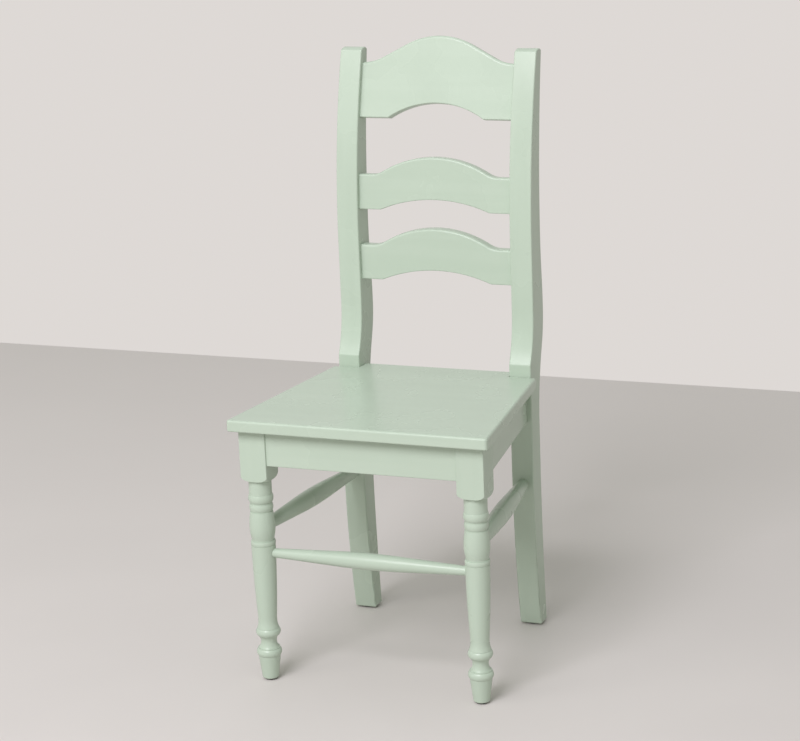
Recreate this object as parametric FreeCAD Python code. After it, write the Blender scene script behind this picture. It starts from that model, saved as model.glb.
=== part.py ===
import FreeCAD, Part
import math
import os

# Ladder-back dining chair in painted solid wood, in millimetres.
# The chair faces -Y, right (+X) is as seen from its front, and the floor is at Z = 0.
# Pieces are drawn with the front faces of the back posts at Y = 0. At the end they all move
# together, so that the origin lies on the floor under the middle of the whole chair.

Vector = FreeCAD.Vector

# Headings in an outline's plane
UP = (0, 1)
DOWN = (0, -1)
OUTWARD = (1, 0)
INWARD = (-1, 0)

# Fits and edges shared by several pieces
fit_gap = 0.3
bore_gap = 0.1
glue_gap = 1.0
board_arris = 1.5
cut_overrun = 5.0
match_tolerance = 0.01

# Seat panel
seat_height = 470.0
seat_thickness = 20.0
seat_front_width = 459.5
seat_rear_width = 381.0
seat_reach = 372.0
seat_tail = 28.0
seat_front_overhang = 17.3
seat_side_overhang = 13.75
seat_ear_overhang = 9.5
seat_corner_radius = 5.5
seat_ear_radius = 3.0
seat_top_rounding = 4.0
seat_lower_rounding = 2.5

# Back posts, seen from the front
post_width = 40.0
post_arris = 2.5

# Back posts, heights from the floor or from the seat
foot_curve_height = 300.0
rear_foot_curve_height = 330.0
rear_swell_drop = 90.0
crease_rise = 21.0
rear_neck_rise = 105.0
neck_rise = 110.0
rake_rise = 230.0
rear_rake_rise = 240.0
post_rise = 560.0

# Back posts, distances behind the front face at the seat
foot_set = 26.5
foot_depth = 32.0
post_depth = 44.0
neck_set = 22.0
rear_swell_set = 78.0
rear_waist_set = 71.5
top_set = 73.2
top_depth = 26.6
swell_split_share = 0.33
waist_split_share = 0.5

# Back posts, domed top, crease and foot
crown_run = 16.0
crown_front_drop = 4.0
crown_rear_drop = 4.0
crease_radius = 6.0
foot_chamfer = 2.0

# Front legs, block
block_side = 48.0
block_length = 90.3
block_arris = 1.5
shoulder_radius = 11.0

# Front legs, turning under the block, from the top down
neck_cove = 1.7
neck_length = 26.7
neck_radius = 19.5
upper_bead_height = 13.0
upper_bead_radius = 21.4
upper_bead_edge_radius = 19.8
groove_height = 3.5
groove_radius = 18.5
second_bead_height = 12.0
second_bead_radius = 20.3
second_bead_edge_radius = 19.0
vase_quirk_height = 2.0
vase_top_radius = 19.3
vase_shoulder_height = 26.7
belly_radius = 22.0
vase_base_height = 22.0
vase_base_radius = 19.0
ring_quirk_height = 2.5
ring_height = 8.5
ring_radius = 21.2
ring_edge_radius = 20.2
taper_top_radius = 20.7
taper_bulge = 0.9

# Front legs, turning above the floor, from the taper down
ankle_height = 112.0
ankle_radius = 16.1
flare_start_height = 107.0
flare_end_height = 94.5
flare_radius = 18.6
flare_fillet = 1.0
low_bead_height = 13.5
low_bead_radius = 21.2
low_bead_edge_radius = 18.2
cove_height = 21.5
cove_edge_radius = 17.0
cove_radius = 13.6
collar_fillet = 2.0
collar_fillet_radius = 18.6
collar_height = 12.5
collar_radius = 21.7
collar_edge_radius = 19.2
foot_base_radius = 14.2
foot_base_chamfer = 1.5

# Aprons
apron_height = 61.5
apron_thickness = 20.0
front_apron_set = 3.0
side_apron_block_set = 7.0
side_apron_post_set = 9.0
rear_apron_set = 6.0

# Apron dowels
dowel_radius = 4.0
dowel_reach = 18.0
dowel_chamfer = 0.8
side_dowel_shares = (0.22, 0.62)
cross_dowel_shares = (0.42, 0.82)

# Slats
slat_thickness = 20.0
slat_recess = 8.5
slat_tenon_length = 15.0
slat_tenon_thickness = 10.0
slat_tenon_shoulder = 8.0
crest_rise = 441.5
crest_end_height = 96.8
crest_top_rise = 47.2
crest_top_rounding = 5.0
crest_arch_rise = 26.8
crest_arch_half_length = 88.0
crest_split_share = 0.38
crest_fullness_share = 0.5
middle_slat_rise = 281.2
lower_slat_rise = 155.3
slat_end_height = 62.0
slat_level_end = 24.0
slat_top_rise = 32.2
slat_top_rounding = 4.0
slat_arch_rise = 20.0
slat_arch_half_length = 101.5
slat_split_share = 0.17

# Stretchers
stretcher_tenon_setback = 7.0
stretcher_post_tenon = 20.0
stretcher_taper_share = 0.42
front_stretcher_height = 229.0
front_stretcher_radius = 14.3
front_stretcher_end_radius = 8.0
side_stretcher_height = 273.0
side_stretcher_radius = 16.3
side_stretcher_end_radius = 10.5

# Corner blocks
corner_block_arm = 50.0
corner_block_thickness = 25.0
corner_screw_share = 0.55
seat_screw_share = 0.5

# Screws
screw_radius = 2.0
screw_head_radius = 4.0
screw_head_height = 2.8
screw_tip = 4.0
screw_grip = 14.0
screw_bite = 14.0
seat_screw_grip = 18.0
seat_screw_bite = 13.0
counterbore_gap = 0.5

# Nail-on glides under the feet
glide_thickness = 3.0
glide_radius = 10.0
glide_chamfer = 0.8
nail_radius = 1.2
nail_length = 14.0

# Levels and places that follow from the sizes above
seat_underside = seat_height - seat_thickness
apron_bottom = seat_underside - apron_height
block_bottom = seat_underside - block_length
crease_height = seat_height + crease_rise
neck_height = seat_height + neck_rise
rake_height = seat_height + rake_rise
rear_neck_height = seat_height + rear_neck_rise
rear_rake_height = seat_height + rear_rake_rise
rear_swell_height = seat_height - rear_swell_drop
post_height = seat_height + post_rise
crown_set = top_set + crown_run
post_spread = seat_rear_width - 2 * seat_ear_overhang
post_outer = post_spread / 2
post_inner = post_outer - post_width
post_middle = post_outer - post_width / 2
block_half = block_side / 2
leg_spread = seat_front_width - 2 * seat_side_overhang
leg_x = leg_spread / 2 - block_half
leg_y = seat_front_overhang - seat_reach + block_half
block_inner = leg_x - block_half
block_outer = leg_x + block_half
block_front = leg_y - block_half
block_back = leg_y + block_half
front_apron_front = block_front + front_apron_set
front_apron_back = front_apron_front + apron_thickness
corner_block_middle = seat_underside - corner_block_thickness / 2


# Points of the planes that outlines are drawn in
def side_point(pair):
    """A point of the right post's inner side: behind the front face, above the floor."""
    return Vector(post_inner, pair[0], pair[1])


def upright_point(pair):
    """A point of the upright plane through X: along X or out from an axis, and up."""
    return Vector(pair[0], 0, pair[1])


def seat_point(pair):
    """A point of the level plane under the seat panel."""
    return Vector(pair[0], pair[1], seat_underside)


def arc_middle(start, end, heading):
    """The middle of the arc that leaves start along heading and stops at end."""
    run = end[0] - start[0]
    rise = end[1] - start[1]
    ahead = run * heading[0] + rise * heading[1]
    aside = rise * heading[0] - run * heading[1]
    turn = math.atan2(aside, ahead) / 2
    cosine = math.cos(turn)
    sine = math.sin(turn)
    reach = math.hypot(run, rise) / (2 * cosine)
    across = heading[0] * cosine - heading[1] * sine
    along = heading[0] * sine + heading[1] * cosine
    return (start[0] + reach * across, start[1] + reach * along)


class Outline:
    """A closed outline in one plane, drawn point by point with lines and arcs."""

    def __init__(self, place, start):
        self.place = place
        self.start = start
        self.last = start
        self.edges = []

    def line(self, point):
        edge = Part.LineSegment(self.place(self.last), self.place(point))
        self.edges.append(edge.toShape())
        self.last = point

    def arc(self, middle, point):
        edge = Part.Arc(self.place(self.last), self.place(middle), self.place(point))
        self.edges.append(edge.toShape())
        self.last = point

    def arc_leaving(self, heading, point):
        self.arc(arc_middle(self.last, point, heading), point)

    def arc_arriving(self, heading, point):
        backward = (-heading[0], -heading[1])
        self.arc(arc_middle(point, self.last, backward), point)

    def ogee(self, heading, point, split_share):
        """Two arcs that meet in an S, leaving and arriving along one heading."""
        turn = (
            self.last[0] + split_share * (point[0] - self.last[0]),
            self.last[1] + split_share * (point[1] - self.last[1]),
        )
        self.arc_leaving(heading, turn)
        self.arc_arriving(heading, point)

    def bead(self, edge_radius, middle_radius, height):
        """A round bead, or a cove where the middle is the smaller, going down."""
        top = self.last[1]
        self.line((edge_radius, top))
        self.arc((middle_radius, top - height / 2), (edge_radius, top - height))

    def face(self):
        self.line(self.start)
        return Part.Face(Part.Wire(self.edges))


# Shapes used by several pieces
def revolved(profile):
    """A solid turned about the Z axis."""
    return profile.revolve(Vector(0, 0, 0), Vector(0, 0, 1), 360)


def rod(radius, start, end):
    """A round bar between two points."""
    axis = end - start
    return Part.makeCylinder(radius, axis.Length, start, axis)


def block(low, high):
    """A box between its lowest and its highest corner."""
    size = high - low
    return Part.makeBox(size.x, size.y, size.z, low)


def aimed(shape, start, heading):
    """A shape drawn up the Z axis from the origin, put at start and turned to heading."""
    placed = shape.copy()
    placed.Placement = FreeCAD.Placement(start, FreeCAD.Rotation(Vector(0, 0, 1), heading))
    return placed


def mirrored(shape):
    """The same shape on the other side of the chair."""
    return shape.mirror(Vector(0, 0, 0), Vector(1, 0, 0))


def both_sides(shapes):
    """Right-hand shapes together with their left-hand copies."""
    return shapes + [mirrored(shape) for shape in shapes]


def level_edges(shape, height):
    """The edges that lie at one height."""
    return [
        edge for edge in shape.Edges
        if all(abs(vertex.Z - height) < match_tolerance for vertex in edge.Vertexes)
    ]


def cross_edges(shape, behind, height):
    """The edges that run across a post at one place of its profile."""
    return [
        edge for edge in shape.Edges
        if all(
            abs(vertex.Y - behind) < match_tolerance and abs(vertex.Z - height) < match_tolerance
            for vertex in edge.Vertexes
        )
    ]


def crossing(profile, start, end):
    """The box of the stretch where a straight line runs through a flat profile."""
    return Part.makeLine(start, end).common(profile).BoundBox


# Back posts
def post_profile():
    """The post's serpentine side view: kicked foot, crease over the seat, raked top."""
    outline = Outline(side_point, (foot_set, glide_thickness))
    outline.arc_arriving(UP, (0, foot_curve_height))
    outline.line((0, crease_height))
    outline.arc_arriving(UP, (neck_set, neck_height))
    outline.line((neck_set, rake_height))
    outline.arc_leaving(UP, (top_set, post_height - crown_front_drop))
    outline.arc_arriving(OUTWARD, (crown_set, post_height))
    outline.arc_leaving(OUTWARD, (top_set + top_depth, post_height - crown_rear_drop))
    outline.arc_arriving(DOWN, (rear_waist_set, rear_rake_height))
    outline.ogee(DOWN, (rear_swell_set, rear_neck_height), waist_split_share)
    outline.ogee(DOWN, (post_depth, rear_swell_height), swell_split_share)
    outline.line((post_depth, rear_foot_curve_height))
    outline.arc_leaving(DOWN, (foot_set + foot_depth, glide_thickness))
    return outline.face()


def post_front(height):
    """How far the post's front face lies behind the face at the seat."""
    profile = post_profile()
    start = side_point((-post_spread, height))
    return crossing(profile, start, side_point((post_spread, height))).YMin


def post_blank():
    """The right post with its soft edges, before it is mortised and bored."""
    post = post_profile().extrude(Vector(post_width, 0, 0))
    post = post.makeFillet(crease_radius, cross_edges(post, 0, crease_height))
    post = post.makeChamfer(foot_chamfer, level_edges(post, glide_thickness))
    long_edges = [
        edge for edge in post.Edges
        if edge.BoundBox.XLength < match_tolerance
        and edge.BoundBox.ZLength > foot_chamfer + match_tolerance
    ]
    top_edges = cross_edges(post, top_set, post_height - crown_front_drop)
    top_edges = top_edges + cross_edges(post, top_set + top_depth, post_height - crown_rear_drop)
    return post.makeFillet(post_arris, long_edges + top_edges)


# Front legs
def leg_profile():
    """Half of the leg's turning, from the block's top down to the foot."""
    block_reach = block_half * math.sqrt(2)
    outline = Outline(upright_point, (0, seat_underside))
    outline.line((block_reach, seat_underside))
    outline.line((block_reach, block_bottom + shoulder_radius))
    outline.arc_leaving(DOWN, (block_reach - shoulder_radius, block_bottom))
    outline.line((neck_radius + neck_cove, block_bottom))
    outline.arc_arriving(DOWN, (neck_radius, block_bottom - neck_cove))
    outline.line((neck_radius, block_bottom - neck_length))
    outline.bead(upper_bead_edge_radius, upper_bead_radius, upper_bead_height)
    outline.line((groove_radius, outline.last[1]))
    outline.line((groove_radius, outline.last[1] - groove_height))
    outline.bead(second_bead_edge_radius, second_bead_radius, second_bead_height)
    outline.line((groove_radius, outline.last[1]))
    outline.line((groove_radius, outline.last[1] - vase_quirk_height))
    outline.line((vase_top_radius, outline.last[1]))
    outline.arc_arriving(DOWN, (belly_radius, outline.last[1] - vase_shoulder_height))
    outline.arc_leaving(DOWN, (vase_base_radius, outline.last[1] - vase_base_height))
    outline.line((vase_base_radius, outline.last[1] - ring_quirk_height))
    outline.bead(ring_edge_radius, ring_radius, ring_height)
    outline.line((taper_top_radius, outline.last[1]))
    taper_middle = (
        (taper_top_radius + ankle_radius) / 2 + taper_bulge,
        (outline.last[1] + ankle_height) / 2,
    )
    outline.arc(taper_middle, (ankle_radius, ankle_height))
    outline.line((ankle_radius, flare_start_height))
    outline.arc_leaving(DOWN, (flare_radius, flare_end_height))
    outline.line((flare_radius, flare_end_height - flare_fillet))
    outline.bead(low_bead_edge_radius, low_bead_radius, low_bead_height)
    outline.bead(cove_edge_radius, cove_radius, cove_height)
    outline.line((collar_fillet_radius, outline.last[1]))
    outline.line((collar_fillet_radius, outline.last[1] - collar_fillet))
    outline.bead(collar_edge_radius, collar_radius, collar_height)
    outline.line((foot_base_radius, glide_thickness + foot_base_chamfer))
    outline.line((foot_base_radius - foot_base_chamfer, glide_thickness))
    outline.line((0, glide_thickness))
    return outline.face()


def leg_face(height, half_band):
    """The leg's largest radius round one height, where a stretcher meets it."""
    profile = leg_profile()
    reaches = []
    for level in (height - half_band, height, height + half_band):
        start = upright_point((0, level))
        reaches.append(crossing(profile, start, upright_point((leg_spread, level))).XMax)
    return max(reaches)


def leg_blank():
    """The right leg turned from a square blank, before it is bored."""
    low = Vector(-block_half, -block_half, 0)
    square = block(low, Vector(block_half, block_half, seat_underside))
    upright_edges = [edge for edge in square.Edges if edge.BoundBox.ZLength > block_length]
    square = square.makeFillet(block_arris, upright_edges)
    leg = square.common(revolved(leg_profile()))
    leg.translate(Vector(leg_x, leg_y, 0))
    return leg


# Seat panel
def seat_panel():
    """The flat seat: wider in front, notched round the posts, with rounded edges."""
    front_half = seat_front_width / 2
    rear_half = seat_rear_width / 2
    notch_side = post_inner - fit_gap
    outline = Outline(seat_point, (-front_half, -seat_reach))
    outline.line((front_half, -seat_reach))
    outline.line((rear_half, -fit_gap))
    outline.line((notch_side, -fit_gap))
    outline.line((notch_side, seat_tail))
    outline.line((-notch_side, seat_tail))
    outline.line((-notch_side, -fit_gap))
    outline.line((-rear_half, -fit_gap))
    panel = outline.face().extrude(Vector(0, 0, seat_thickness))
    upright_edges = [edge for edge in panel.Edges if edge.BoundBox.ZLength > seat_thickness / 2]
    front_corners = [edge for edge in upright_edges if edge.BoundBox.YMax < -seat_reach / 2]
    panel = panel.makeFillet(seat_corner_radius, front_corners)
    upright_edges = [edge for edge in panel.Edges if edge.BoundBox.ZLength > seat_thickness / 2]
    ears = [
        edge for edge in upright_edges
        if abs(edge.BoundBox.XMax) > post_inner + seat_ear_radius
        and edge.BoundBox.YMin > -seat_reach / 2
    ]
    panel = panel.makeFillet(seat_ear_radius, ears)
    panel = rounded_rim(panel, seat_height, seat_top_rounding)
    return rounded_rim(panel, seat_underside, seat_lower_rounding)


def rounded_rim(panel, height, radius):
    """The panel with its outer rim rounded at one height, but not in the notches."""
    rim = [
        edge for edge in level_edges(panel, height)
        if edge.BoundBox.YMin < -fit_gap - match_tolerance
    ]
    return panel.makeFillet(radius, rim)


# Aprons
def side_apron_outer(y):
    """How far out the right side apron's outer face lies, at one place along it."""
    post_end = post_outer - side_apron_post_set
    block_end = block_outer - side_apron_block_set
    return post_end + (block_end - post_end) * y / block_back


def side_apron_heading():
    """The direction of the right side apron, from the leg's block to the post."""
    run = side_apron_outer(0) - side_apron_outer(block_back)
    heading = Vector(run, -block_back, 0)
    return heading.normalize()


def side_apron_inner(y):
    """How far out the right side apron's inner face lies, at one place along it."""
    return side_apron_outer(y) - apron_thickness / side_apron_heading().y


def softened(apron):
    """An apron with its long lower edges softened."""
    span = max(apron.BoundBox.XLength, apron.BoundBox.YLength)
    long_edges = [edge for edge in level_edges(apron, apron_bottom) if edge.Length > span / 2]
    return apron.makeFillet(board_arris, long_edges)


def front_apron_blank():
    """The board between the two leg blocks."""
    low = Vector(-block_inner, front_apron_front, apron_bottom)
    return softened(block(low, Vector(block_inner, front_apron_back, seat_underside)))


def rear_apron_blank():
    """The board between the two posts, under the back of the seat."""
    low = Vector(-post_inner, rear_apron_set, apron_bottom)
    high = Vector(post_inner, rear_apron_set + apron_thickness, seat_underside)
    return softened(block(low, high))


def side_apron_blank():
    """The right-hand board from the leg's block to the post, closing in to the rear."""
    outline = Outline(seat_point, (side_apron_outer(block_back), block_back))
    outline.line((side_apron_outer(0), 0))
    outline.line((side_apron_inner(0), 0))
    outline.line((side_apron_inner(block_back), block_back))
    return softened(outline.face().extrude(Vector(0, 0, -apron_height)))


# Apron dowels
class DowelJoint:
    """Two dowels across one joint, and the bores that they sit in."""

    def __init__(self, x, y, heading, shares):
        self.heading = heading
        self.centres = [Vector(x, y, apron_bottom + apron_height * share) for share in shares]

    def dowels(self):
        pins = []
        for centre in self.centres:
            start = centre - self.heading * dowel_reach
            pin = rod(dowel_radius, start, centre + self.heading * dowel_reach)
            rims = [edge for edge in pin.Edges if len(edge.Vertexes) == 1]
            pins.append(pin.makeChamfer(dowel_chamfer, rims))
        return pins

    def bores(self):
        reach = self.heading * (dowel_reach + glue_gap)
        radius = dowel_radius + bore_gap
        return [rod(radius, centre - reach, centre + reach) for centre in self.centres]


def dowel_joints():
    """The right-hand half of the chair's apron joints, by name."""
    front_y = front_apron_front + apron_thickness / 2
    rear_y = rear_apron_set + apron_thickness / 2
    across = Vector(1, 0, 0)
    along = side_apron_heading()
    block_x = (side_apron_outer(block_back) + side_apron_inner(block_back)) / 2
    post_x = (side_apron_outer(0) + side_apron_inner(0)) / 2
    return {
        "front": DowelJoint(block_inner, front_y, across, cross_dowel_shares),
        "rear": DowelJoint(post_inner, rear_y, across, cross_dowel_shares),
        "block": DowelJoint(block_x, block_back, along, side_dowel_shares),
        "post": DowelJoint(post_x, 0, along, side_dowel_shares),
    }


# Slats
class Slat:
    """A flat arched board tenoned between the posts, leaning with their front faces."""

    def __init__(self, rise, end_height, top_rounding):
        self.bottom = seat_height + rise
        self.end_height = end_height
        self.top_rounding = top_rounding
        self.foot = post_front(self.bottom)
        self.lean = math.atan2(post_front(self.bottom + end_height) - self.foot, end_height)

    def placed(self, shape):
        """A shape drawn upright on the board's front face, leaned and put in its place."""
        shape.rotate(Vector(0, 0, 0), Vector(1, 0, 0), -math.degrees(self.lean))
        shape.translate(Vector(0, self.foot + slat_recess, self.bottom))
        return shape

    def tenons(self, gap, end_gap):
        """Both tenons in one bar, larger by a gap where it cuts the mortises."""
        margin = (slat_thickness - slat_tenon_thickness) / 2
        reach = post_inner + slat_tenon_length + end_gap
        low = Vector(-reach, margin - gap, slat_tenon_shoulder - gap)
        top = self.end_height - slat_tenon_shoulder + gap
        bar = block(low, Vector(reach, margin + slat_tenon_thickness + gap, top))
        return self.placed(bar)

    def mortises(self):
        return self.tenons(fit_gap, glue_gap)

    def arrises(self, plank, upper_front):
        """The long edges of the upright board: the upper front one, or the other three."""
        low = self.end_height - match_tolerance
        return [
            edge for edge in plank.Edges
            if edge.BoundBox.YLength < match_tolerance
            and edge.BoundBox.XLength > match_tolerance
            and (edge.BoundBox.YMax < match_tolerance and edge.BoundBox.ZMin > low) == upper_front
        ]

    def board(self, outline_face):
        """The board with its tenons and soft arrises, the upper front one rounder."""
        plank = outline_face.extrude(Vector(0, slat_thickness, 0))
        plank = plank.makeFillet(self.top_rounding, self.arrises(plank, True))
        plank = self.placed(plank.makeFillet(board_arris, self.arrises(plank, False)))
        middle = self.placed(block(
            Vector(-post_inner, -cut_overrun, -cut_overrun),
            Vector(post_inner, slat_thickness + cut_overrun, self.end_height + slat_thickness),
        ))
        stubs = self.tenons(0, 0).cut(middle)
        return plank.fuse(stubs.Solids).removeSplitter()


def arched_start(arch_half_length, arch_rise):
    """The lower edge of a slat: level ends and one arch, from left to right."""
    outline = Outline(upright_point, (-post_inner, 0))
    outline.line((-arch_half_length, 0))
    outline.arc((0, arch_rise), (arch_half_length, 0))
    outline.line((post_inner, 0))
    return outline


def crest_face():
    """The crest rail's outline, with a hump on long straight flanks over its top edge."""
    outline = arched_start(crest_arch_half_length, crest_arch_rise)
    outline.line((post_inner, crest_end_height))
    flank_angle = math.atan2(crest_top_rise, post_inner) * (1 + crest_fullness_share)
    sine = math.sin(flank_angle)
    bow = 1 - math.cos(flank_angle)
    radii = (post_inner * sine - crest_top_rise * math.cos(flank_angle)) / bow
    hollow = radii * crest_split_share
    hump = radii - hollow
    peak = crest_end_height + crest_top_rise
    hollow_end = (post_inner - hollow * sine, crest_end_height + hollow * bow)
    hump_end = (hump * sine, peak - hump * bow)
    outline.arc_leaving(INWARD, hollow_end)
    outline.line(hump_end)
    outline.arc((0, peak), (-hump_end[0], hump_end[1]))
    outline.line((-hollow_end[0], hollow_end[1]))
    outline.arc_arriving(INWARD, (-post_inner, crest_end_height))
    return outline.face()


def slat_face():
    """The outline of the two plain slats, with one hump over its top edge."""
    outline = arched_start(slat_arch_half_length, slat_arch_rise)
    outline.line((post_inner, slat_end_height))
    hump_end = post_inner - slat_level_end
    outline.line((hump_end, slat_end_height))
    outline.ogee(INWARD, (0, slat_end_height + slat_top_rise), slat_split_share)
    outline.ogee(INWARD, (-hump_end, slat_end_height), 1 - slat_split_share)
    outline.line((-post_inner, slat_end_height))
    return outline.face()


# Stretchers
def spindle(length, middle_radius, end_radius, start_tenon, end_tenon):
    """A turned rod up the Z axis, with a round tenon beyond each end.

    Straight tapers rise from both ends towards the middle radius, and one long arc joins them.
    """
    taper = length * stretcher_taper_share
    swelling = middle_radius - end_radius
    share = 1 - (length / 2 - taper) / math.hypot(taper, swelling)
    shoulder = end_radius + swelling * share
    outline = Outline(upright_point, (0, -start_tenon))
    outline.line((end_radius, -start_tenon))
    outline.line((end_radius, 0))
    outline.line((shoulder, taper * share))
    outline.arc((middle_radius, length / 2), (shoulder, length - taper * share))
    outline.line((end_radius, length))
    outline.line((end_radius, length + end_tenon))
    outline.line((0, length + end_tenon))
    return revolved(outline.face())


class Stretcher:
    """A turned stretcher on a line that starts on a front leg's axis."""

    def __init__(self, line, faces, end_tenon, middle_radius, end_radius):
        start, end = line
        self.start = start
        self.span = (end - start).Length
        self.heading = (end - start).normalize()
        self.start_face, self.end_face = faces
        self.end_tenon = end_tenon
        self.middle_radius = middle_radius
        self.end_radius = end_radius

    def point(self, distance):
        return self.start + self.heading * distance

    def solid(self):
        length = self.span - self.start_face - self.end_face
        start_tenon = self.start_face - stretcher_tenon_setback
        radii = (self.middle_radius, self.end_radius)
        rod_shape = spindle(length, *radii, start_tenon, self.end_tenon)
        return aimed(rod_shape, self.point(self.start_face), self.heading)

    def bores(self):
        """One bar through both ends' bores, a little longer and wider than the tenons."""
        near = stretcher_tenon_setback - glue_gap
        far = self.span - self.end_face + self.end_tenon + glue_gap
        return rod(self.end_radius + bore_gap, self.point(near), self.point(far))


def front_stretcher():
    end_radius = front_stretcher_end_radius
    face = leg_face(front_stretcher_height, end_radius) + fit_gap
    start = Vector(-leg_x, leg_y, front_stretcher_height)
    end = Vector(leg_x, leg_y, front_stretcher_height)
    tenon = face - stretcher_tenon_setback
    return Stretcher((start, end), (face, face), tenon, front_stretcher_radius, end_radius)


def side_stretcher():
    """The right side stretcher, from the leg's axis to the middle of the post's face."""
    end_radius = side_stretcher_end_radius
    leg_side = leg_face(side_stretcher_height, end_radius) + fit_gap
    start = Vector(leg_x, leg_y, side_stretcher_height)
    end = Vector(post_middle, post_front(side_stretcher_height), side_stretcher_height)
    slant = abs(end.x - start.x) / (end - start).Length
    post_side = fit_gap + end_radius * slant
    faces = (leg_side, post_side)
    tenon = post_side + stretcher_post_tenon
    return Stretcher((start, end), faces, tenon, side_stretcher_radius, end_radius)


# Screws
def screw(grip, bite):
    """A domed wood screw down the Z axis from the underside of its head."""
    tip = grip + bite
    outline = Outline(upright_point, (0, -screw_head_height))
    outline.arc_leaving(OUTWARD, (screw_head_radius, 0))
    outline.line((screw_radius, 0))
    outline.line((screw_radius, tip - screw_tip))
    outline.line((0, tip))
    return revolved(outline.face())


class ScrewPlace:
    """A screw through a corner block, with its hole and its counterbore."""

    def __init__(self, joint, heading, grip, bite):
        self.seat = joint - heading * grip
        self.joint = joint
        self.heading = heading
        self.grip = grip
        self.bite = bite

    def solid(self):
        return aimed(screw(self.grip, self.bite), self.seat, self.heading)

    def holes(self):
        shank_end = self.joint + self.heading * (self.bite + glue_gap)
        shank = rod(screw_radius + bore_gap, self.seat, shank_end)
        mouth = self.seat - self.heading * corner_block_arm
        counterbore = rod(screw_head_radius + counterbore_gap, mouth, self.seat)
        return [shank, counterbore]


# Corner blocks
class CornerBlock:
    """A right-hand block glued in the corner of two aprons, round the leg's corner.

    The cross apron's inner face is at cross_y, the leg's corner at leg_inner and leg_y,
    and inside is the heading along Y towards the middle of the seat.
    """

    def __init__(self, cross_y, leg_inner, leg_y_face, inside):
        notch_x = leg_inner - fit_gap
        notch_y = leg_y_face + inside * fit_gap
        side_y = notch_y + inside * corner_block_arm
        self.cross_end = (notch_x - corner_block_arm, cross_y)
        self.side_end = (side_apron_inner(side_y), side_y)
        self.corner = (notch_x, notch_y)
        self.cross_y = cross_y
        self.inside = inside

    def blank(self):
        outline = Outline(seat_point, self.cross_end)
        outline.line((self.corner[0], self.cross_y))
        outline.line(self.corner)
        outline.line((side_apron_inner(self.corner[1]), self.corner[1]))
        outline.line(self.side_end)
        return outline.face().extrude(Vector(0, 0, -corner_block_thickness))

    def apron_screws(self):
        """One screw into each apron, square to its inner face."""
        reach = corner_block_arm * corner_screw_share
        cross = Vector(self.corner[0] - reach, self.cross_y, corner_block_middle)
        into_cross = Vector(0, -self.inside, 0)
        side_y = self.corner[1] + self.inside * reach
        side = Vector(side_apron_inner(side_y), side_y, corner_block_middle)
        along = side_apron_heading()
        into_side = Vector(along.y, -along.x, 0)
        return [
            ScrewPlace(cross, into_cross, screw_grip, screw_bite),
            ScrewPlace(side, into_side, screw_grip, screw_bite),
        ]

    def seat_screw(self):
        """The upright screw, between the notch and the long slanting face."""
        run = self.side_end[0] - self.cross_end[0]
        rise = self.side_end[1] - self.cross_end[1]
        ahead = self.corner[0] - self.cross_end[0]
        aside = self.corner[1] - self.cross_end[1]
        share = (ahead * run + aside * rise) / (run ** 2 + rise ** 2)
        slant_x = self.cross_end[0] + share * run
        slant_y = self.cross_end[1] + share * rise
        x = self.corner[0] + (slant_x - self.corner[0]) * seat_screw_share
        y = self.corner[1] + (slant_y - self.corner[1]) * seat_screw_share
        joint = Vector(x, y, seat_underside)
        return ScrewPlace(joint, Vector(0, 0, 1), seat_screw_grip, seat_screw_bite)

    def solid(self):
        holes = self.seat_screw().holes()
        for place in self.apron_screws():
            holes = holes + place.holes()
        return self.blank().cut(holes)


# Glides
def glide():
    """A round nail-on glide, standing on the floor."""
    outline = Outline(upright_point, (0, 0))
    outline.line((glide_radius - glide_chamfer, 0))
    outline.line((glide_radius, glide_chamfer))
    outline.line((glide_radius, glide_thickness))
    outline.line((nail_radius, glide_thickness))
    outline.line((nail_radius, glide_thickness + nail_length))
    outline.line((0, glide_thickness + nail_length))
    return revolved(outline.face())


def nail_bore(foot):
    """The hole for a glide's nail."""
    top = glide_thickness + nail_length + glue_gap
    return rod(nail_radius + bore_gap, foot, foot + Vector(0, 0, top))


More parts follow.
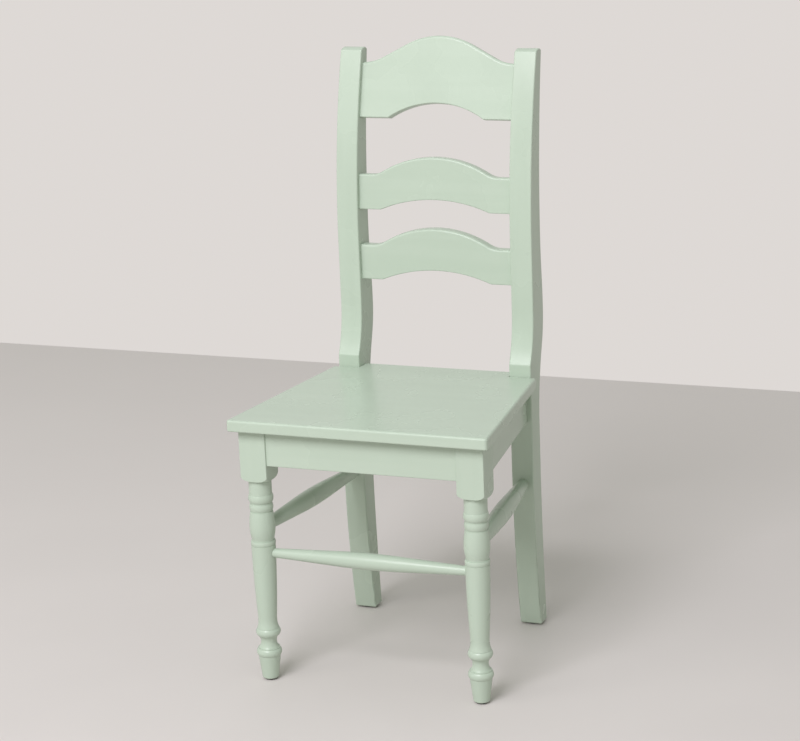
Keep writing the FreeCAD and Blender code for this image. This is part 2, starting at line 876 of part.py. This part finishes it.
# The whole chair
def build_chair():
    """Every piece by name, with the posts' front faces at Y = 0."""
    joints = dowel_joints()
    crest = Slat(crest_rise, crest_end_height, crest_top_rounding)
    middle = Slat(middle_slat_rise, slat_end_height, slat_top_rounding)
    lower = Slat(lower_slat_rise, slat_end_height, slat_top_rounding)
    front_rod = front_stretcher()
    side_rod = side_stretcher()
    front_corner = CornerBlock(front_apron_back, block_inner, block_back, 1)
    rear_corner = CornerBlock(rear_apron_set, post_inner, 0, -1)
    front_foot = Vector(leg_x, leg_y, 0)
    rear_foot = Vector(post_middle, foot_set + foot_depth / 2, 0)

    apron_screws = front_corner.apron_screws() + rear_corner.apron_screws()
    screw_holes = []
    for place in apron_screws:
        screw_holes = screw_holes + place.holes()
    seat_screws = [front_corner.seat_screw(), rear_corner.seat_screw()]

    leg_cuts = joints["front"].bores() + joints["block"].bores()
    leg_cuts = leg_cuts + [front_rod.bores(), side_rod.bores(), nail_bore(front_foot)]
    post_cuts = joints["rear"].bores() + joints["post"].bores()
    post_cuts = post_cuts + [slat.mortises() for slat in (crest, middle, lower)]
    post_cuts = post_cuts + [side_rod.bores(), nail_bore(rear_foot)]
    side_cuts = joints["block"].bores() + joints["post"].bores() + screw_holes
    front_cuts = both_sides(joints["front"].bores() + screw_holes)
    rear_cuts = both_sides(joints["rear"].bores() + screw_holes)
    seat_cuts = both_sides([place.holes()[0] for place in seat_screws])

    sided = {
        "front_leg": leg_blank().cut(leg_cuts),
        "back_post": post_blank().cut(post_cuts),
        "side_apron": side_apron_blank().cut(side_cuts),
        "side_stretcher": side_rod.solid(),
        "corner_block_front": front_corner.solid(),
        "corner_block_rear": rear_corner.solid(),
        "glide_front": glide().translated(front_foot),
        "glide_rear": glide().translated(rear_foot),
    }
    pieces = {}
    for name, shape in sided.items():
        pieces[name + "_right"] = shape
        pieces[name + "_left"] = mirrored(shape)

    dowels = []
    for joint in joints.values():
        dowels = dowels + joint.dowels()
    pieces["seat_panel"] = seat_panel().cut(seat_cuts)
    pieces["front_apron"] = front_apron_blank().cut(front_cuts)
    pieces["rear_apron"] = rear_apron_blank().cut(rear_cuts)
    pieces["crest_rail"] = crest.board(crest_face())
    pieces["middle_slat"] = middle.board(slat_face())
    pieces["lower_slat"] = lower.board(slat_face())
    pieces["front_stretcher"] = front_rod.solid()
    pieces["apron_dowels"] = Part.makeCompound(both_sides(dowels))
    block_screws = [place.solid() for place in apron_screws]
    pieces["corner_block_screws"] = Part.makeCompound(both_sides(block_screws))
    upright_screws = [place.solid() for place in seat_screws]
    pieces["seat_screws"] = Part.makeCompound(both_sides(upright_screws))
    return pieces


def export_chair():
    """Move the pieces to the common origin and write each to a file of its own."""
    pieces = build_chair()
    bounds = Part.makeCompound(list(pieces.values())).optimalBoundingBox(False)
    shift = Vector(0, -(bounds.YMin + bounds.YMax) / 2, 0)
    os.makedirs("parts", exist_ok=True)
    for name, shape in pieces.items():
        shape.translate(shift)
        shape.exportStep("parts/" + name + ".step")
        print(name, len(shape.Solids), "solid, valid", shape.isValid())


export_chair()
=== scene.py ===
import math

import bmesh
import bpy
from mathutils import Matrix, Vector


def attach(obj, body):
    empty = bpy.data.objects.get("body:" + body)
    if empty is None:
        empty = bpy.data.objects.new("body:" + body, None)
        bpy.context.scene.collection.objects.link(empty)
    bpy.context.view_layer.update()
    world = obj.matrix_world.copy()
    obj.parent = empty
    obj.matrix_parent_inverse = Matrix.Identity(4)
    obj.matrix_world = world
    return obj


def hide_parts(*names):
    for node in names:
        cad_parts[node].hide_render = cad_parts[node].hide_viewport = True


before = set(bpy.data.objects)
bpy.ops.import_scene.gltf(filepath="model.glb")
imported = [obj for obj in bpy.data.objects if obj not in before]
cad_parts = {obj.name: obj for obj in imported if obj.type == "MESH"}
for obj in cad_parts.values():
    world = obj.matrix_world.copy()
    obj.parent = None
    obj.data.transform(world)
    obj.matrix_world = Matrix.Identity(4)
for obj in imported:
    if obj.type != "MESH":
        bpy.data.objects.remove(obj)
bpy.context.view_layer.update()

# Lengths are in metres, lamp powers in watts. Colours are linear.
BODY = "root"

# Camera: place and directions, and sensor and lens in millimetres, fitted to the chair's symmetry
CAMERA_PLACE = (1.41073, -3.540145, 1.51344)
CAMERA_FORWARD = (-0.35481815, 0.8980351, -0.26007121)
CAMERA_RIGHT = (0.93304015, 0.35782601, -0.03737152)
CAMERA_UP = (-0.05949931, 0.25591698, 0.96486597)
CAMERA_SENSOR = 36.0
CAMERA_LENS = 103.7475
CAMERA_SHIFT = (-0.0154875, 0.01360625)

# Floor and background: the floor fades into the background between two distances from the chair
FLOOR_COLOUR = (0.682, 0.64, 0.622)
FLOOR_SHADES = (0.99, 1.01)
FLOOR_ROUGHNESS = (0.5, 0.6)
FLOOR_SPECULAR = 0.3
FLOOR_REAR = 1.81
FLOOR_FRONT = -40.0
FLOOR_HALF_WIDTH = 40.0
FLOOR_FADE = (3.2, 6.0)
BACKGROUND_COLOUR = (0.73, 0.694, 0.669)

# Light: a dim sky and three round lamps that face the chair from their headings
SKY_COLOUR = (0.965, 1.0, 0.915)
SKY_STRENGTH = 0.425
KEY_COLOUR = (1.0, 0.98, 1.04)
KEY_HEADING = (-0.11, -1.0, 0.87)
KEY_DISTANCE = 6.5
KEY_SIZE = 3.4
KEY_POWER = 303.0
FILL_COLOUR = (1.0, 1.0, 0.96)
FILL_HEADING = (-0.9, -1.0, 0.9)
FILL_DISTANCE = 6.0
FILL_SIZE = 3.0
FILL_POWER = 46.0
TOP_COLOUR = (0.96, 1.0, 1.1)
TOP_HEADING = (0.0, 0.05, 1.0)
TOP_DISTANCE = 6.0
TOP_SIZE = 3.0
TOP_POWER = 21.0
LIGHT_AIM = (0.0, 0.0, 0.55)

# Noise: scale, detail, roughness and distortion. The span is the part of a noise's range in use.
GRAIN_NOISE = (260.0, 4.0, 0.55, 0.4)
BAND_NOISE = (42.0, 2.0, 0.5, 0.3)
PEEL_NOISE = (620.0, 2.0, 0.45, 0.0)
CLOUD_NOISE = (9.0, 3.0, 0.5, 0.0)
SPECKLE_NOISE = (160.0, 3.0, 0.5, 0.0)
GRIT_NOISE = (900.0, 3.0, 0.5, 0.0)
MOTTLE_NOISE = (3.0, 3.0, 0.5, 0.0)
NOISE_SPAN = (0.3, 0.7)

# Bumps: distance and strength
GRAIN_BUMP = (0.00006, 0.35)
PEEL_BUMP = (0.00004, 0.30)
GRIT_BUMP = (0.00003, 0.4)
MOTTLE_BUMP = (0.0002, 0.1)

# Paint: the coordinate along the wood is scaled by GRAIN_STRETCH, which draws the grain out
PAINT_COLOUR = (0.494, 0.583, 0.481)
PAINT_SHADES = (0.988, 1.01)
PAINT_BAND_TINTS = ((0.975, 0.98, 0.975), (1.0, 1.0, 1.0))
PAINT_ROUGHNESS = (0.258, 0.282)
PAINT_SPECULAR = 0.38
GRAIN_STRETCH = 0.045

# Unpainted materials
BEECH_COLOUR = (0.68, 0.50, 0.32)
BEECH_ROUGHNESS = 0.6
ZINC_COLOUR = (0.62, 0.62, 0.60)
ZINC_ROUGHNESS = 0.32
GLIDE_COLOUR = (0.02, 0.017, 0.015)
GLIDE_ROUGHNESS = 0.45
PLAIN_SHADES = (0.9, 1.06)
PLAIN_ROUGHNESS_MARGIN = 0.05

# Screws: domed head with a cross recess, plain neck, thread and point
SCREW_HEAD_RADIUS = 0.004
SCREW_HEAD_HEIGHT = 0.0028
SCREW_DOME_STEPS = 5
SCREW_NECK_RADIUS = 0.0016
SCREW_NECK_LENGTH = 0.0095
SCREW_POINT_LENGTH = 0.0045
SCREW_SEGMENTS = 24
THREAD_CREST_RADIUS = 0.00195
THREAD_ROOT_RADIUS = 0.00135
THREAD_PITCH = 0.0018
THREAD_RIDGE_SHARE = 0.45
THREAD_RINGS_A_TURN = 6

# Recess: each pair is for the open end of its cutter, above the head, and for its bottom.
# Each screw in a node is turned on from the one before, by an angle in radians.
RECESS_ARMS = 4
RECESS_ARM_LENGTH = (0.0021, 0.0010)
RECESS_HALF_WIDTH = (0.00055, 0.00030)
RECESS_DEPTH = (-0.0006, 0.0021)
RECESS_TURN = 0.7
WELD_DISTANCE = 0.000002
SHARP_ANGLE = math.radians(38.0)


def shade(colour, factor):
    return tuple(channel * factor for channel in colour)


def placed(name, data):
    """A new object in the scene."""
    made = bpy.data.objects.new(name, data)
    bpy.context.scene.collection.objects.link(made)
    return made


class Graph:
    """A material's node tree, filled with short calls."""

    def __init__(self, name):
        self.material = bpy.data.materials.new(name)
        self.material.use_nodes = True
        self.tree = self.material.node_tree
        self.tree.nodes.clear()
        self.shader = self.add("ShaderNodeBsdfPrincipled")
        self.output = self.add("ShaderNodeOutputMaterial")
        self.link(self.shader.outputs["BSDF"], self.output.inputs["Surface"])

    def add(self, kind, **settings):
        node = self.tree.nodes.new(kind)
        for key, value in settings.items():
            setattr(node, key, value)
        return node

    def link(self, output, socket):
        self.tree.links.new(output, socket)

    def place(self, stretch=(1.0, 1.0, 1.0)):
        """The object's own coordinates, times stretch."""
        coordinates = self.add("ShaderNodeTexCoord")
        mapping = self.add("ShaderNodeMapping")
        mapping.inputs["Scale"].default_value = stretch
        self.link(coordinates.outputs["Object"], mapping.inputs["Vector"])
        return mapping.outputs["Vector"]

    def noise(self, vector, settings):
        scale, detail, roughness, distortion = settings
        node = self.add("ShaderNodeTexNoise")
        node.inputs["Scale"].default_value = scale
        node.inputs["Detail"].default_value = detail
        node.inputs["Roughness"].default_value = roughness
        node.inputs["Distortion"].default_value = distortion
        self.link(vector, node.inputs["Vector"])
        return node.outputs["Fac"]

    def spread(self, value, low, high, span=NOISE_SPAN):
        """A value in a span, spread from low to high."""
        node = self.add("ShaderNodeMapRange", interpolation_type="SMOOTHERSTEP")
        node.inputs["From Min"].default_value = span[0]
        node.inputs["From Max"].default_value = span[1]
        node.inputs["To Min"].default_value = low
        node.inputs["To Max"].default_value = high
        self.link(value, node.inputs["Value"])
        return node.outputs["Result"]

    def tint(self, value, first, second):
        """A colour between two, by a noise."""
        node = self.add("ShaderNodeMix", data_type="RGBA")
        self.link(self.spread(value, 0.0, 1.0), node.inputs["Factor"])
        node.inputs["A"].default_value = (*first, 1.0)
        node.inputs["B"].default_value = (*second, 1.0)
        return node.outputs["Result"]

    def tones(self, value, colour, shades):
        """A colour that a noise makes darker and lighter."""
        dark, light = shades
        return self.tint(value, shade(colour, dark), shade(colour, light))

    def multiply(self, first, second):
        """The product of two colours."""
        node = self.add("ShaderNodeMix", data_type="RGBA", blend_type="MULTIPLY")
        node.inputs["Factor"].default_value = 1.0
        self.link(first, node.inputs["A"])
        self.link(second, node.inputs["B"])
        return node.outputs["Result"]

    def bump(self, height, settings, normal=None):
        distance, strength = settings
        node = self.add("ShaderNodeBump")
        node.inputs["Distance"].default_value = distance
        node.inputs["Strength"].default_value = strength
        self.link(height, node.inputs["Height"])
        if normal is not None:
            self.link(normal, node.inputs["Normal"])
        return node.outputs["Normal"]

    def finish(self, colour, roughness, normal):
        self.link(colour, self.shader.inputs["Base Color"])
        self.link(roughness, self.shader.inputs["Roughness"])
        self.link(normal, self.shader.inputs["Normal"])
        return self.material


def paint(name, along):
    """Satin paint on wood whose grain runs along one axis, 0 to 2."""
    graph = Graph(name)
    graph.shader.inputs["Specular IOR Level"].default_value = PAINT_SPECULAR
    stretch = [1.0, 1.0, 1.0]
    stretch[along] = GRAIN_STRETCH
    along_place = graph.place(stretch)
    even_place = graph.place()
    grain = graph.noise(along_place, GRAIN_NOISE)
    bands = graph.noise(along_place, BAND_NOISE)
    peel = graph.noise(even_place, PEEL_NOISE)
    clouds = graph.noise(even_place, CLOUD_NOISE)

    base = graph.tones(clouds, PAINT_COLOUR, PAINT_SHADES)
    veined = graph.tint(bands, *PAINT_BAND_TINTS)
    roughness = graph.spread(clouds, *PAINT_ROUGHNESS)
    relief = graph.bump(peel, PEEL_BUMP, graph.bump(grain, GRAIN_BUMP))
    return graph.finish(graph.multiply(base, veined), roughness, relief)


def plain(name, colour, roughness, metallic=0.0):
    """An unpainted material with fine speckle and grit."""
    graph = Graph(name)
    graph.shader.inputs["Metallic"].default_value = metallic
    place = graph.place()
    speckle = graph.noise(place, SPECKLE_NOISE)
    grit = graph.noise(place, GRIT_NOISE)
    smooth = roughness - PLAIN_ROUGHNESS_MARGIN
    rough = roughness + PLAIN_ROUGHNESS_MARGIN
    tone = graph.tones(speckle, colour, PLAIN_SHADES)
    return graph.finish(tone, graph.spread(speckle, smooth, rough), graph.bump(grit, GRIT_BUMP))


def dress(names, material):
    """Give CAD nodes a material."""
    for name in names:
        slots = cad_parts[name].data.materials
        slots.clear()
        slots.append(material)


def solids_of(node):
    """The points of each solid in a node, in the same order each run."""
    work = bmesh.new()
    work.from_mesh(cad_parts[node].data)
    bmesh.ops.remove_doubles(work, verts=work.verts, dist=WELD_DISTANCE)
    left = set(work.verts)
    solids = []
    for first in work.verts:
        if first not in left:
            continue
        left.remove(first)
        front = [first]
        points = []
        while front:
            point = front.pop()
            points.append(point.co.copy())
            for edge in point.link_edges:
                other = edge.other_vert(point)
                if other in left:
                    left.remove(other)
                    front.append(other)
        solids.append(points)
    work.free()
    return sorted(solids, key=lambda points: tuple(points[0]))


def screw_ends(points):
    """The top of a screw's head and its point."""
    middle = sum(points, Vector()) / len(points)
    point = max(points, key=lambda place: (place - middle).length)
    top = max(points, key=lambda place: (place - point).length)
    return top, point


def screw_rings(length):
    """For each ring of a screw its depth under the top, and its radius at each segment."""
    ball = (SCREW_HEAD_RADIUS ** 2 + SCREW_HEAD_HEIGHT ** 2) / (2 * SCREW_HEAD_HEIGHT)
    reach = math.asin(SCREW_HEAD_RADIUS / ball)
    rings = []
    for step in range(1, SCREW_DOME_STEPS + 1):
        angle = reach * step / SCREW_DOME_STEPS
        rings.append((ball * (1 - math.cos(angle)), [ball * math.sin(angle)] * SCREW_SEGMENTS))
    rings.append((SCREW_HEAD_HEIGHT, [SCREW_NECK_RADIUS] * SCREW_SEGMENTS))
    depth = SCREW_NECK_LENGTH
    rings.append((depth, [SCREW_NECK_RADIUS] * SCREW_SEGMENTS))
    rise = THREAD_CREST_RADIUS - THREAD_ROOT_RADIUS
    step = THREAD_PITCH / THREAD_RINGS_A_TURN
    while depth + step < length - step:
        depth += step
        taper = min(1.0, (length - depth) / SCREW_POINT_LENGTH)
        radii = []
        for segment in range(SCREW_SEGMENTS):
            # The ridge stands in the middle of each turn
            turned = (depth / THREAD_PITCH - segment / SCREW_SEGMENTS) % 1.0
            ridge = max(0.0, 1.0 - abs(turned - 0.5) / THREAD_RIDGE_SHARE)
            radii.append((THREAD_ROOT_RADIUS + rise * ridge) * taper)
        rings.append((depth, radii))
    return rings


def screw_body(length):
    """A screw without its recess, with its top at the origin and its point along Z."""
    body = bmesh.new()
    top = body.verts.new((0.0, 0.0, 0.0))
    rings = []
    for depth, radii in screw_rings(length):
        ring = []
        for segment, radius in enumerate(radii):
            angle = math.tau * segment / SCREW_SEGMENTS
            ring.append(body.verts.new((radius * math.cos(angle), radius * math.sin(angle), depth)))
        rings.append(ring)
    point = body.verts.new((0.0, 0.0, length))
    for segment in range(SCREW_SEGMENTS):
        after = (segment + 1) % SCREW_SEGMENTS
        body.faces.new((top, rings[0][after], rings[0][segment]))
        body.faces.new((point, rings[-1][segment], rings[-1][after]))
        for upper, lower in zip(rings, rings[1:]):
            body.faces.new((upper[segment], upper[after], lower[after], lower[segment]))
    return body


def recess_cutter():
    """A tapered cross that sinks into the head."""
    cutter = bmesh.new()
    levels = []
    for length, half, depth in zip(RECESS_ARM_LENGTH, RECESS_HALF_WIDTH, RECESS_DEPTH):
        level = []
        for arm in range(RECESS_ARMS):
            turn = Matrix.Rotation(math.tau * arm / RECESS_ARMS, 3, "Z")
            for corner in ((length, -half), (length, half), (half, half)):
                level.append(cutter.verts.new(turn @ Vector((*corner, depth))))
        levels.append(level)
    upper, lower = levels
    cutter.faces.new(upper)
    cutter.faces.new(list(reversed(lower)))
    for index in range(len(upper)):
        after = (index + 1) % len(upper)
        cutter.faces.new((upper[index], lower[index], lower[after], upper[after]))
    bmesh.ops.recalc_face_normals(cutter, faces=cutter.faces)
    return cutter


def shown(work, name):
    """A new object from a bmesh, which is used up."""
    mesh = bpy.data.meshes.new(name)
    work.to_mesh(mesh)
    work.free()
    return placed(name, mesh)


def one_screw(length):
    """The finished mesh of one screw, with its recess cut."""
    blank = shown(screw_body(length), "screw_blank")
    cutter = shown(recess_cutter(), "screw_cutter")
    cut = blank.modifiers.new("recess", "BOOLEAN")
    cut.operation = "DIFFERENCE"
    cut.solver = "EXACT"
    cut.object = cutter
    bpy.context.view_layer.update()
    mesh = bpy.data.meshes.new_from_object(blank.evaluated_get(bpy.context.evaluated_depsgraph_get()))
    bpy.data.objects.remove(blank)
    bpy.data.objects.remove(cutter)
    return mesh


def screws(name, node, material):
    """Threaded screws in the places of a node's plain ones."""
    joined = bmesh.new()
    for index, points in enumerate(solids_of(node)):
        top, point = screw_ends(points)
        mesh = one_screw((point - top).length)
        turn = (point - top).to_track_quat("Z", "Y").to_matrix().to_4x4()
        twist = Matrix.Rotation(RECESS_TURN * index, 4, "Z")
        mesh.transform(Matrix.Translation(top) @ turn @ twist)
        joined.from_mesh(mesh)
        bpy.data.meshes.remove(mesh)
    piece = shown(joined, name)
    piece.data.materials.append(material)
    for face in piece.data.polygons:
        face.use_smooth = True
    piece.data.set_sharp_from_angle(angle=SHARP_ANGLE)
    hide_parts(node)
    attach(piece, BODY)


def looked_at(tree):
    """1 for a ray that the camera, a reflection or a refraction sends, else 0."""
    path = tree.nodes.new("ShaderNodeLightPath")
    value = path.outputs["Is Camera Ray"]
    for name in ("Is Glossy Ray", "Is Transmission Ray"):
        either = tree.nodes.new("ShaderNodeMath")
        either.operation = "MAXIMUM"
        tree.links.new(value, either.inputs[0])
        tree.links.new(path.outputs[name], either.inputs[1])
        value = either.outputs[0]
    return value


def floor_material():
    """A plain floor. Far from the chair, what looks at it sees the background's colour instead."""
    graph = Graph("floor")
    graph.shader.inputs["Specular IOR Level"].default_value = FLOOR_SPECULAR
    place = graph.place()
    mottle = graph.noise(place, MOTTLE_NOISE)
    tone = graph.tones(mottle, FLOOR_COLOUR, FLOOR_SHADES)
    graph.finish(tone, graph.spread(mottle, *FLOOR_ROUGHNESS), graph.bump(mottle, MOTTLE_BUMP))

    far = graph.add("ShaderNodeVectorMath", operation="LENGTH")
    graph.link(place, far.inputs[0])
    haze = graph.add("ShaderNodeEmission")
    haze.inputs["Color"].default_value = (*BACKGROUND_COLOUR, 1.0)
    fading = graph.add("ShaderNodeMath", operation="MULTIPLY")
    graph.link(graph.spread(far.outputs["Value"], 0.0, 1.0, FLOOR_FADE), fading.inputs[0])
    graph.link(looked_at(graph.tree), fading.inputs[1])
    faded = graph.add("ShaderNodeMixShader")
    graph.link(fading.outputs[0], faded.inputs[0])
    graph.link(graph.shader.outputs["BSDF"], faded.inputs[1])
    graph.link(haze.outputs["Emission"], faded.inputs[2])
    graph.link(faded.outputs["Shader"], graph.output.inputs["Surface"])
    return graph.material


def make_floor():
    mesh = bpy.data.meshes.new("floor")
    corners = [
        (-FLOOR_HALF_WIDTH, FLOOR_FRONT, 0.0),
        (FLOOR_HALF_WIDTH, FLOOR_FRONT, 0.0),
        (FLOOR_HALF_WIDTH, FLOOR_REAR, 0.0),
        (-FLOOR_HALF_WIDTH, FLOOR_REAR, 0.0),
    ]
    mesh.from_pydata(corners, [], [(0, 1, 2, 3)])
    mesh.materials.append(floor_material())
    floor = placed("floor", mesh)


def make_world():
    """A sky that lights the scene, and the background's colour for what looks at it."""
    world = bpy.data.worlds.new("studio")
    bpy.context.scene.world = world
    world.use_nodes = True
    tree = world.node_tree
    tree.nodes.clear()
    sky = tree.nodes.new("ShaderNodeBackground")
    sky.inputs["Color"].default_value = (*SKY_COLOUR, 1.0)
    sky.inputs["Strength"].default_value = SKY_STRENGTH
    seen = tree.nodes.new("ShaderNodeBackground")
    seen.inputs["Color"].default_value = (*BACKGROUND_COLOUR, 1.0)
    mix = tree.nodes.new("ShaderNodeMixShader")
    output = tree.nodes.new("ShaderNodeOutputWorld")
    tree.links.new(looked_at(tree), mix.inputs[0])
    tree.links.new(sky.outputs[0], mix.inputs[1])
    tree.links.new(seen.outputs[0], mix.inputs[2])
    tree.links.new(mix.outputs[0], output.inputs["Surface"])


def lamp(name, colour, heading, distance, size, power):
    """A round lamp that faces the middle of the chair from a heading."""
    data = bpy.data.lights.new(name, "AREA")
    data.shape = "DISK"
    data.size = size
    data.color = colour
    data.energy = power
    direction = Vector(heading).normalized()
    made = placed(name, data)
    made.location = Vector(LIGHT_AIM) + direction * distance
    made.rotation_mode = "QUATERNION"
    made.rotation_quaternion = direction.to_track_quat("Z", "Y")


def make_camera():
    data = bpy.data.cameras.new("camera")
    data.sensor_width = CAMERA_SENSOR
    data.lens = CAMERA_LENS
    data.shift_x, data.shift_y = CAMERA_SHIFT
    axes = (Vector(CAMERA_RIGHT), Vector(CAMERA_UP), -Vector(CAMERA_FORWARD))
    camera = placed("camera", data)
    camera.matrix_world = Matrix.Translation(CAMERA_PLACE) @ Matrix(axes).transposed().to_4x4()
    bpy.context.scene.camera = camera


# Pieces, by the way that their wood runs
sides = ("left", "right")
corner_names = [end + "_" + side for end in ("front", "rear") for side in sides]
upright = [piece + "_" + side for piece in ("front_leg", "back_post") for side in sides]
across = [
    "seat_panel",
    "front_apron",
    "rear_apron",
    "crest_rail",
    "middle_slat",
    "lower_slat",
    "front_stretcher",
]
deep =[piece + "_" + side for piece in ("side_apron", "side_stretcher") for side in sides]
blocks = ["corner_block_" + name for name in corner_names]
glides = ["glide_" + name for name in corner_names]

dress(upright, paint("paint_upright", 2))
dress(across, paint("paint_across", 0))
dress(deep + blocks, paint("paint_deep", 1))
dress(["apron_dowels"], plain("beech", BEECH_COLOUR, BEECH_ROUGHNESS))
zinc = plain("zinc", ZINC_COLOUR, ZINC_ROUGHNESS, 1.0)
screws("threaded_block_screws", "corner_block_screws", zinc)
screws("threaded_seat_screws", "seat_screws", zinc)
dress(glides, plain("glide_plastic", GLIDE_COLOUR, GLIDE_ROUGHNESS))

make_floor()
make_world()
lamp("key", KEY_COLOUR, KEY_HEADING, KEY_DISTANCE, KEY_SIZE, KEY_POWER)
lamp("fill", FILL_COLOUR, FILL_HEADING, FILL_DISTANCE, FILL_SIZE, FILL_POWER)
lamp("top", TOP_COLOUR, TOP_HEADING, TOP_DISTANCE, TOP_SIZE, TOP_POWER)
make_camera()
bpy.context.scene.view_settings.view_transform = "Standard"
